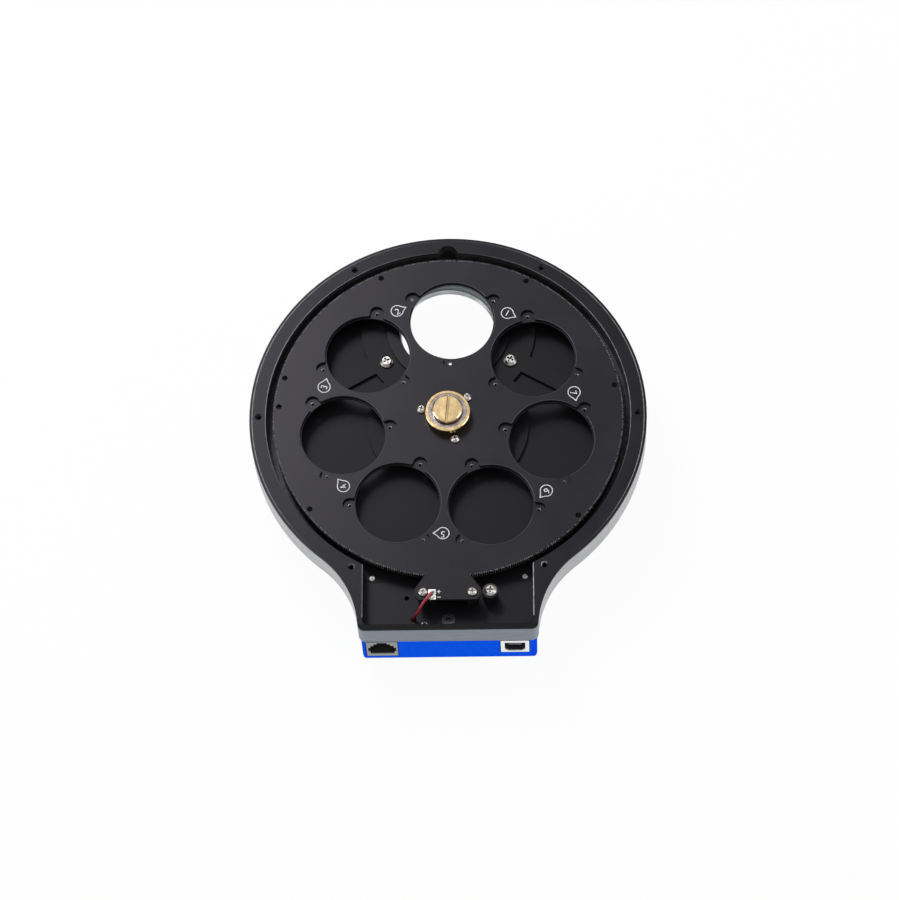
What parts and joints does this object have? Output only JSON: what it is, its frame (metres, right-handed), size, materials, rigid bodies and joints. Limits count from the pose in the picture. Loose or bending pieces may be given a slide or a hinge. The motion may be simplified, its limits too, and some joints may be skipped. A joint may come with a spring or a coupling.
{
  "type": "optical filter wheel",
  "caption": "Motorised optical filter wheel without its front cover: a toothed carousel of round filter seats on a brass hub, in a black tray with a blue electronics box.",
  "frame": {"origin": "on the carousel's axis, in the plane of the housing rim that the cover is screwed to", "axes": "+Z out of the open tray towards the cover, +Y from the neck to the light path, +X to the right"},
  "size_m": [0.1676, 0.1815, 0.039],
  "materials": {
    "housing_anodised": "black anodised aluminium, fine satin, with a bare grey outer wall",
    "adapter_aluminium": "turned bare aluminium",
    "black_screw": "blackened steel",
    "bright_screw": "nickel-plated steel",
    "bearing_steel": "ground bearing steel",
    "hub_brass": "turned brass",
    "gearbox_metal": "yellow zinc-plated gearbox",
    "motor_can": "drawn steel can",
    "box_blue": "blue anodised aluminium, fine satin",
    "control_board_green": "green solder mask on glass fibre",
    "socket_shell": "tinned steel shell",
    "socket_tongue": "moulded plastic",
    "contact_brass": "gold-plated contacts",
    "post_black": "black anodised post",
    "sensor_board_black": "black solder mask on glass fibre",
    "chip_black": "moulded chip package",
    "tinned_pad": "tinned copper",
    "lead_red": "smooth PVC insulation",
    "carousel_anodised": "black anodised aluminium, fine satin",
    "magnet_metal": "nickel-plated magnet",
    "cage_brass": "pressed brass",
    "pinion_brass": "cut brass"
  },
  "bodies": {
    "frame": {"housing": "housing_anodised", "light_path_ring": "adapter_aluminium", "ring_screws": "bright_screw", "bearing_inner_race": "bearing_steel", "axle_spacer": "bearing_steel", "axle_screw": "hub_brass", "motor_gearbox": "gearbox_metal", "drive_motor": "motor_can", "motor_screws": "bright_screw", "electronics_box": "box_blue", "box_screws": "bright_screw", "box_front_screw": "black_screw", "control_board": "control_board_green", "control_board_screws": "bright_screw", "modular_jack": "socket_shell", "jack_contacts": "contact_brass", "usb_shell": "socket_shell", "usb_tongue": "socket_tongue", "guide_post": "post_black", "post_screw": "bright_screw", "sensor_board": "sensor_board_black", "board_standoffs": "post_black", "board_screws": "bright_screw", "hall_sensor": "chip_black", "lead_pad": "tinned_pad", "red_lead": "lead_red"},
    "carousel_body": {"carousel": "carousel_anodised", "index_magnets": "magnet_metal", "hub": "hub_brass", "hub_screws": "bright_screw", "bearing_outer_race": "bearing_steel"},
    "ball_set": {"bearing_balls": "bearing_steel", "bearing_cage": "cage_brass"},
    "pinion_body": {"drive_pinion": "pinion_brass", "motor_shaft": "bearing_steel"}
  },
  "joints": [
    {"name": "carousel_spin", "type": "hinge", "parent": "frame", "child": "carousel_body", "pos_m": [0, 0, -0.0023], "axis": [0, 0, 1], "continuous": true},
    {"name": "ball_set_spin", "type": "hinge", "parent": "frame", "child": "ball_set", "pos_m": [0, 0, 0.0011], "axis": [0, 0, 1], "continuous": true},
    {"name": "pinion_spin", "type": "hinge", "parent": "frame", "child": "pinion_body", "pos_m": [0, -0.0774, -0.0023], "axis": [0, 0, 1], "continuous": true}
  ],
  "couplings": [
    {"joint": "ball_set_spin", "follows": "carousel_spin", "ratio": 0.5744},
    {"joint": "pinion_spin", "follows": "carousel_spin", "ratio": -20.5}
  ]
}
